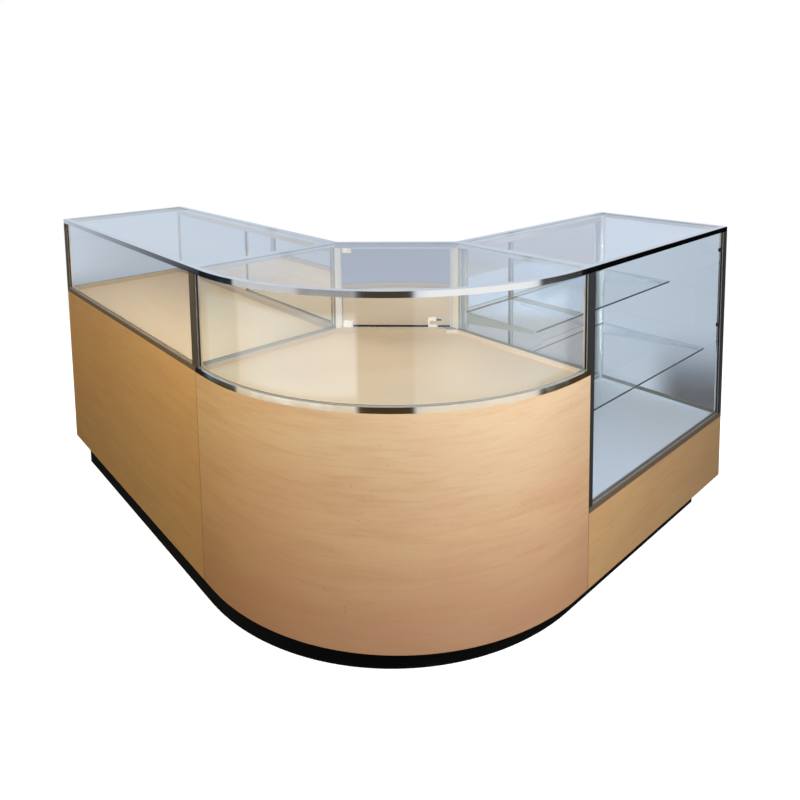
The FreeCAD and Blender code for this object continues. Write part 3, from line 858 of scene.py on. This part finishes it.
class DESK_OT_seal(bpy.types.Operator):
    """Brush seal under the corner mirror door, on both sides of its lock"""

    bl_idname = "desk.seal"
    bl_label = "Door seal"

    def execute(self, context):
        sizes = context.scene.desk_sizes
        low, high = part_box("corner_mirror_door")
        half = math.hypot(high.x - low.x, high.y - low.y) / 2
        inset = -0.009
        past_pivot = 0.034 - half
        lock_start, lock_end, door_end = half - 0.076, half - 0.044, half - 0.004
        tuft, sway, ragged = 0.005, 0.27, 0.0004
        mesh = bmesh.new()
        for start, end in ((past_pivot, lock_start), (lock_end, door_end)):
            count = max(int((end - start) / tuft), 4)
            previous = None
            for i in range(count + 1):
                along = start + (end - start) * i / count
                lean = sway * math.sin(i * 2.3)
                tips = low.z - sizes.seal_height - ragged * math.sin(i * 1.7)
                section = []
                for out, z in ((-1.0, low.z), (1.0, low.z), (0.7 + lean, tips), (lean - 0.7, tips)):
                    spot = rear_point(along, inset + out * sizes.seal_width / 2, z)
                    section.append(mesh.verts.new(spot))
                if previous:
                    skin(mesh, previous, section)
                else:
                    mesh.faces.new(section)
                previous = section
            mesh.faces.new(reversed(previous))
        finish = black_nylon("brush_seal", True)
        add_piece("mirror_door_seal", mesh, finish, "corner_mirror_leaf")
        return {"FINISHED"}


class DESK_OT_beads(bpy.types.Operator):
    """Glazing beads round the upright panes"""

    bl_idname = "desk.beads"
    bl_label = "Glazing beads"

    def flat_pane(self, mesh, spots, across):
        """Beads on both faces of a flat pane whose thickness runs along an axis."""
        low, high = box_round(spots)
        along = 1 - across
        for face, sign in ((low, -1.0), (high, 1.0)):
            out = Vector((0.0, 0.0, 0.0))
            out[across] = sign
            path = []
            for a, b in ((0, 0), (1, 0), (1, 1), (0, 1)):
                way = Vector((0.0, 0.0, 1.0 - 2.0 * b))
                way[along] = 1.0 - 2.0 * a
                spot = Vector((0.0, 0.0, (low, high)[b].z))
                spot[along] = (low, high)[a][along]
                spot[across] = face[across]
                path.append((spot + way * self.bite, way, out))
            bead(mesh, path, self.width, self.depth)

    def bent_pane(self, mesh):
        """Beads on both faces of the bent pane."""
        low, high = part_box("corner_bent_glass")
        outer = high.x - bend_centre[0]
        steps = 30
        for radius, sign in ((outer, 1.0), (outer - self.pane, -1.0)):
            run = [(low.x + self.bite, bend_centre[1] - radius, -math.pi / 2)]
            for i in range(steps + 1):
                a = math.radians(-90 + 90 * i / steps)
                x = bend_centre[0] + radius * math.cos(a)
                run.append((x, bend_centre[1] + radius * math.sin(a), a))
            run.append((bend_centre[0] + radius, high.y - self.bite, 0.0))
            path = []
            levels = ((run, low.z + self.bite, 1.0), (run[::-1], high.z - self.bite, -1.0))
            for rows, z, rise in levels:
                ends = {run[0]: Vector((1.0, 0.0, rise)), run[-1]: Vector((0.0, -1.0, rise))}
                for spot in rows:
                    x, y, a = spot
                    out = Vector((math.cos(a), math.sin(a), 0.0)) * sign
                    path.append((Vector((x, y, z)), ends.get(spot, Vector((0.0, 0.0, rise))), out))
            bead(mesh, path, self.width, self.depth)

    def execute(self, context):
        self.width = context.scene.desk_sizes.bead_width
        self.depth = context.scene.desk_sizes.bead_depth
        self.bite = 0.004
        self.pane = 0.006
        near = self.pane + 0.001
        finish = bright_bar("glazing_beads", (all_over, "bead", True))
        for wing, across in (("left", 1), ("right", 0)):
            mesh = bmesh.new()
            self.flat_pane(mesh, spots_of(wing + "_front_glass"), across)
            ends = spots_of(wing + "_end_glass")
            low, high = box_round(ends)
            run = 1 - across
            self.flat_pane(mesh, [spot for spot in ends if spot[run] < low[run] + near], run)
            self.flat_pane(mesh, [spot for spot in ends if spot[run] > high[run] - near], run)
            add_piece(wing + "_glazing_beads", mesh, finish, "desk")
        mesh = bmesh.new()
        self.bent_pane(mesh)
        seams = spots_of("corner_seam_glass")
        low, high = box_round(seams)
        self.flat_pane(mesh, [spot for spot in seams if spot.x < low.x + near], 0)
        self.flat_pane(mesh, [spot for spot in seams if spot.y > high.y - near], 1)
        add_piece("corner_glazing_beads", mesh, finish, "desk")
        return {"FINISHED"}


class DESK_OT_screws(bpy.types.Operator):
    """Screws in the hinges, the lock, the pivot plates and the shelf standards"""

    bl_idname = "desk.screws"
    bl_label = "Screws"

    def execute(self, context):
        r = context.scene.desk_sizes.screw_radius
        h = context.scene.desk_sizes.screw_height
        rim = ((r, 0.0), (r, 0.4 * h), (0.88 * r, 0.8 * h))
        head = (*rim, (0.66 * r, h), (0.46 * r, h), (0.4 * r, 0.3 * h))
        leaf_face, plate_face, lock_face = 0.0015, -0.0045, -0.0015
        middle = chord.dot(rear_point(0.0, 0.0, 0.0))

        def rear_screw(mesh, along, out, z):
            """A screw that faces the staff side."""
            turned(mesh, rear_point(along, out, z), rearward, head)

        fixed_screws = bmesh.new()
        door_screws = bmesh.new()
        hinges = spots_of("corner_storage_hinges")
        fixed_leaf = min(chord.dot(spot) for spot in hinges) - middle + 0.0071
        moving_leaf = fixed_leaf + 0.0218
        low, high = box_round(hinges)
        for level in (low.z + 0.009, low.z + 0.036, high.z - 0.036, high.z - 0.009):
            rear_screw(fixed_screws, fixed_leaf, leaf_face, level)
            rear_screw(door_screws, moving_leaf, leaf_face, level)

        mirror_screws = bmesh.new()
        door = spots_of("corner_mirror_door")
        edge = min(chord.dot(spot) for spot in door) - middle
        lock = max(chord.dot(spot) for spot in door) - middle - 0.06
        low, high = box_round(door)
        for level in (low.z + 0.007, high.z - 0.007):
            rear_screw(mirror_screws, edge + 0.008, plate_face, level)
            rear_screw(mirror_screws, edge + 0.022, plate_face, level)
        for side in (-0.009, 0.009):
            rear_screw(mirror_screws, lock + side, lock_face, low.z + 0.023)

        low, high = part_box("right_standards")
        first_slot, slot_step = low.z + 0.022, 0.025
        for y in (low.y + 0.006, high.y - 0.006):
            for step in (1.5, 13.5, 24.5):
                spot = Vector((high.x, y, first_slot + slot_step * step))
                turned(fixed_screws, spot, (1, 0, 0), head)
        finish = plated_steel("screw_steel")
        add_piece("fixed_screws", fixed_screws, finish, "desk")
        add_piece("storage_door_screws", door_screws, finish, "corner_storage_leaf")
        add_piece("mirror_door_screws", mirror_screws, finish, "corner_mirror_leaf")
        return {"FINISHED"}


class DESK_OT_stage(bpy.types.Operator):
    """Pale floor, soft light, backdrop and camera"""

    bl_idname = "desk.stage"
    bl_label = "Stage"

    def floor(self, stage):
        """A round floor that is white to the camera and keeps the desk's shadow."""
        mesh = bmesh.new()
        middle, x, y = Vector((0, 0, 0)), Vector((1, 0, 0)), Vector((0, 1, 0))
        reaches = (0.6, 1.4, 2.2, 2.8, 3.2)
        rings = [ring(mesh, middle, x * reach, y * reach, 96) for reach in reaches]
        mesh.faces.new(rings[0])
        for low, high in zip(rings, rings[1:]):
            skin(mesh, high, low)
        finish = new_finish("pale_floor")
        look = finish.toned(finish.clouds(3.0, up=1.0) * 0.2, stage.floor, 0.94)
        pale = finish.surface(Base_Color=look, Roughness=0.8)
        sheet = finish.node("ShaderNodeBsdfDiffuse", None, {"Color": (0.5, 0.5, 0.5)})
        white = (1.0, 1.0, 1.0)
        glow = finish.node("ShaderNodeEmission", None, {"Color": white, "Strength": 0.9})
        lit = finish.node("ShaderNodeAddShader", None, {0: sheet, 1: glow})
        open_view = finish.path("Transparent Depth") < 0.5
        shown = finish.blend(open_view, finish.clear(white), lit)
        finish.show(finish.blend(finish.path("Is Camera Ray"), pale, shown))
        made = to_object("floor", mesh, finish.material)
        made.location.z = -0.0005
        made.visible_glossy = False

    def surround(self, stage):
        """A white backdrop for the camera, a studio for gloss, and soft light for the rest."""
        world = bpy.data.worlds.new("studio")
        world.use_nodes = True
        bpy.context.scene.world = world
        sky = Finish(world.node_tree)
        x, y, z = sky.split(sky.node("ShaderNodeTexCoord", output="Generated"))
        flat = (x * x + y * y) ** 0.5
        back = stage.backdrop

        def panel(azimuth, half, soft):
            """1 over a stretch of the horizon: its middle, half its width and its soft ends."""
            a = math.radians(azimuth)
            near = (x * math.cos(a) + y * math.sin(a)) / flat
            inner = math.cos(math.radians(max(half - soft, 0.0)))
            outer = math.cos(math.radians(half + soft))
            return sky.ramp(near, outer, inner)

        # What shows first in panes and rails: three bands, one below the other, with dark panels
        black = (0.012, 0.012, 0.014)
        level = z + panel(-43, 62, 50.0) * 0.045
        left = panel(-141.5, 13.5, 1.0).larger(panel(-151, 9, 7.5) * 0.88)
        right = panel(43.5, 14.5, 2.0)
        far_right = panel(66, 9.5, 1.0)
        middle = panel(-48.5, 13.5, 1.5)
        upper = sky.over(
            back,
            (panel(-108, 20, 2.0), (0.58, 0.57, 0.57)),
            (panel(-76, 14, 3.0), (0.32, 0.3, 0.3)),
            (panel(-3, 29, 6.0) * sky.ramp(z, -0.2, -0.235), (0.92, 0.92, 0.93)),
            (left, black),
            (middle, (0.062, 0.05, 0.038)),
            (right, (0.05, 0.05, 0.05)),
            (far_right, (0.0015, 0.0015, 0.0015)),
        )
        veil = sky.over(
            back,
            (panel(-85, 32, 20.0), (1.9, 2.3, 2.6)),
            (panel(-140, 13, 2.0), (0.2, 0.45, 0.6)),
            (panel(8, 30, 12.0), (1.2, 1.45, 1.6)),
            (panel(-166, 14, 2.0).larger(panel(64, 16, 4.0)).larger(middle), black),
        )
        lower = sky.over(
            back,
            (panel(-95, 34, 4.0), (0.66, 0.56, 0.43)),
            (panel(-3, 30, 5.0), (0.85, 0.78, 0.7)),
            (left.larger(right).larger(middle.larger(far_right)), (0.065, 0.042, 0.02)),
        )
        dull = panel(140, 6, 5.0) * sky.ramp(z, 0.28, 0.22)
        bands = sky.over(
            upper,
            (sky.ramp(level, -0.245, -0.26), veil),
            (sky.ramp(level, -0.352, -0.366), lower),
            (panel(-166, 14, 4.0) * sky.ramp(z, -0.2, -0.24), black),
            (sky.ramp(z, 0.04, 0.1), sky.mix(dull, back, (0.53, 0.59, 0.69))),
            (sky.ramp(z, -0.46, -0.6), (0.1, 0.08, 0.06)),
        )

        # What shows in the mirrors and shelves behind a pane
        shelf_top = sky.ramp(z, 0.03, 0.1) * sky.ramp(z, 0.312, 0.276)
        under_rail = sky.ramp(z, -0.25, -0.262) * sky.ramp(z, -0.305, -0.28)
        inside = sky.over(
            back,
            (panel(-45, 45, 25.0), (0.335, 0.37, 0.47)),
            (panel(50, 40, 15.0), (0.55, 0.54, 0.595)),
            (panel(45, 14, 5.0) * shelf_top, (0.94, 1.21, 1.65)),
            (panel(45, 14, 5.0) * under_rail, (0.66, 0.73, 0.86)),
        )

        # What shows straight through the panes
        through = sky.over(
            back,
            (panel(166, 14, 8.0) * sky.ramp(z, -0.16, -0.22), shaded(back, 0.9)),
            (panel(106, 14, 8.0), (0.69, 0.79, 0.93)),
            (panel(113.5, 3.5, 1.5) * sky.ramp(z, -0.18, -0.14), (0.58, 0.62, 0.65)),
            (panel(109, 7, 1.5) * sky.ramp(z, -0.29, -0.38), shaded(back, 0.22)),
        )

        first = sky.path("Transparent Depth") < 0.5
        tone = sky.over(
            stage.ambient,
            (sky.path("Is Glossy Ray"), sky.mix(first, inside, bands)),
            (sky.path("Is Transmission Ray"), back),
            (sky.path("Is Camera Ray"), sky.mix(first, through, (1.0, 1.0, 1.0))),
        )
        glow = sky.node("ShaderNodeBackground", None, {"Color": tone, "Strength": 1.0})
        sky.show(glow, "ShaderNodeOutputWorld")

    def lamp(self, name, spot, target, size, watts, tint=(1.0, 1.0, 1.0), spread=180.0):
        """A round soft lamp that only lights, and shows in nothing; its spread is in degrees."""
        data = bpy.data.lights.new(name, "AREA")
        data.shape = "DISK"
        data.size = size
        data.spread = math.radians(spread)
        data.energy = watts
        data.color = tint
        data.cycles.use_multiple_importance_sampling = False
        made = bpy.data.objects.new(name, data)
        made.location = spot
        made.rotation_mode = "QUATERNION"
        made.rotation_quaternion = (Vector(target) - Vector(spot)).to_track_quat("-Z", "Y")
        made.visible_camera = False
        made.visible_glossy = False
        bpy.context.scene.collection.objects.link(made)

    def camera(self, stage):
        """The photograph's camera."""
        data = bpy.data.cameras.new("camera")
        data.sensor_width = 36.0
        data.lens = stage.lens
        data.shift_y = stage.rise
        made = bpy.data.objects.new("camera", data)
        turn = Matrix.Rotation(stage.yaw, 4, "Z")
        nod = Matrix.Rotation(math.pi / 2 - stage.pitch, 4, "X")
        lean = Matrix.Rotation(stage.roll, 4, "Z")
        made.matrix_world = Matrix.Translation(stage.eye) @ turn @ nod @ lean
        bpy.context.scene.collection.objects.link(made)
        bpy.context.scene.camera = made

    def execute(self, context):
        stage = context.scene.desk_stage
        context.scene.view_settings.view_transform = "Standard"
        context.scene.cycles.transparent_max_bounces = 32
        self.floor(stage)
        self.surround(stage)
        cool, warm, plain = (0.94, 1.0, 1.15), (1.0, 0.86, 0.59), (1.0, 1.0, 1.0)
        amber, peach = (1.0, 0.8, 0.25), (1.0, 0.68, 0.4)
        lamps = (
            ("key", (2.1, -0.6, 1.65), (0.6, -0.5, 0.35), 0.8, stage.key_power, cool),
            ("fill", (0.35, -1.5, 1.65), (0.0, -0.8, 0.35), 0.8, stage.fill_power, warm),
            ("rear", (-1.1, 1.0, 2.3), (-0.1, 0.1, 0.5), 1.2, stage.rear_power),
            ("top", (0.2, 0.2, 3.0), (0.2, 0.2, 0.0), 2.4, stage.top_power),
            ("wing", (-0.7, -0.58, 1.95), (-0.7, -0.58, 0.0), 0.9, stage.wing_power),
            ("side", (-1.3, -1.9, 0.9), (-0.8, -0.8, 0.4), 0.5, stage.side_power, amber),
            ("low", (1.7, 0.0, 0.15), (0.99, 0.2, 0.25), 0.4, stage.low_power, peach),
            ("shelf", (0.75, -0.25, 1.25), (0.54, 0.79, 0.62), 0.2, stage.shelf_power, plain, 36.0),
        )
        for lamp in lamps:
            self.lamp(*lamp)
        self.camera(stage)
        return {"FINISHED"}


pieces = (
    DESK_OT_woodwork, DESK_OT_plinths, DESK_OT_frames, DESK_OT_panes, DESK_OT_mirrors,
    DESK_OT_fittings, DESK_OT_seal, DESK_OT_beads, DESK_OT_screws, DESK_OT_stage,
)


class DESK_PT_sidebar(bpy.types.Panel):
    """Lists the desk's groups of pieces"""

    bl_idname = "DESK_PT_sidebar"
    bl_label = "Reception desk"
    bl_space_type = "VIEW_3D"
    bl_region_type = "UI"
    bl_category = "Desk"

    def draw(self, context):
        scene = context.scene
        for group in (scene.desk_colours, scene.desk_sizes, scene.desk_stage):
            column = self.layout.column()
            for name in group.__annotations__:
                column.prop(group, name)
        for piece in pieces:
            self.layout.operator(piece.bl_idname)


groups = {"desk_colours": DeskColours, "desk_sizes": DeskSizes, "desk_stage": DeskStage}
classes = (*groups.values(), *pieces, DESK_PT_sidebar)


def register():
    for item in classes:
        bpy.utils.register_class(item)
    for name, group in groups.items():
        setattr(bpy.types.Scene, name, PointerProperty(type=group))


def unregister():
    for name in groups:
        delattr(bpy.types.Scene, name)
    for item in reversed(classes):
        bpy.utils.unregister_class(item)


def main():
    register()
    for piece in pieces:
        family, name = piece.bl_idname.split(".")
        getattr(getattr(bpy.ops, family), name)()


if __name__ == "__main__":
    main()
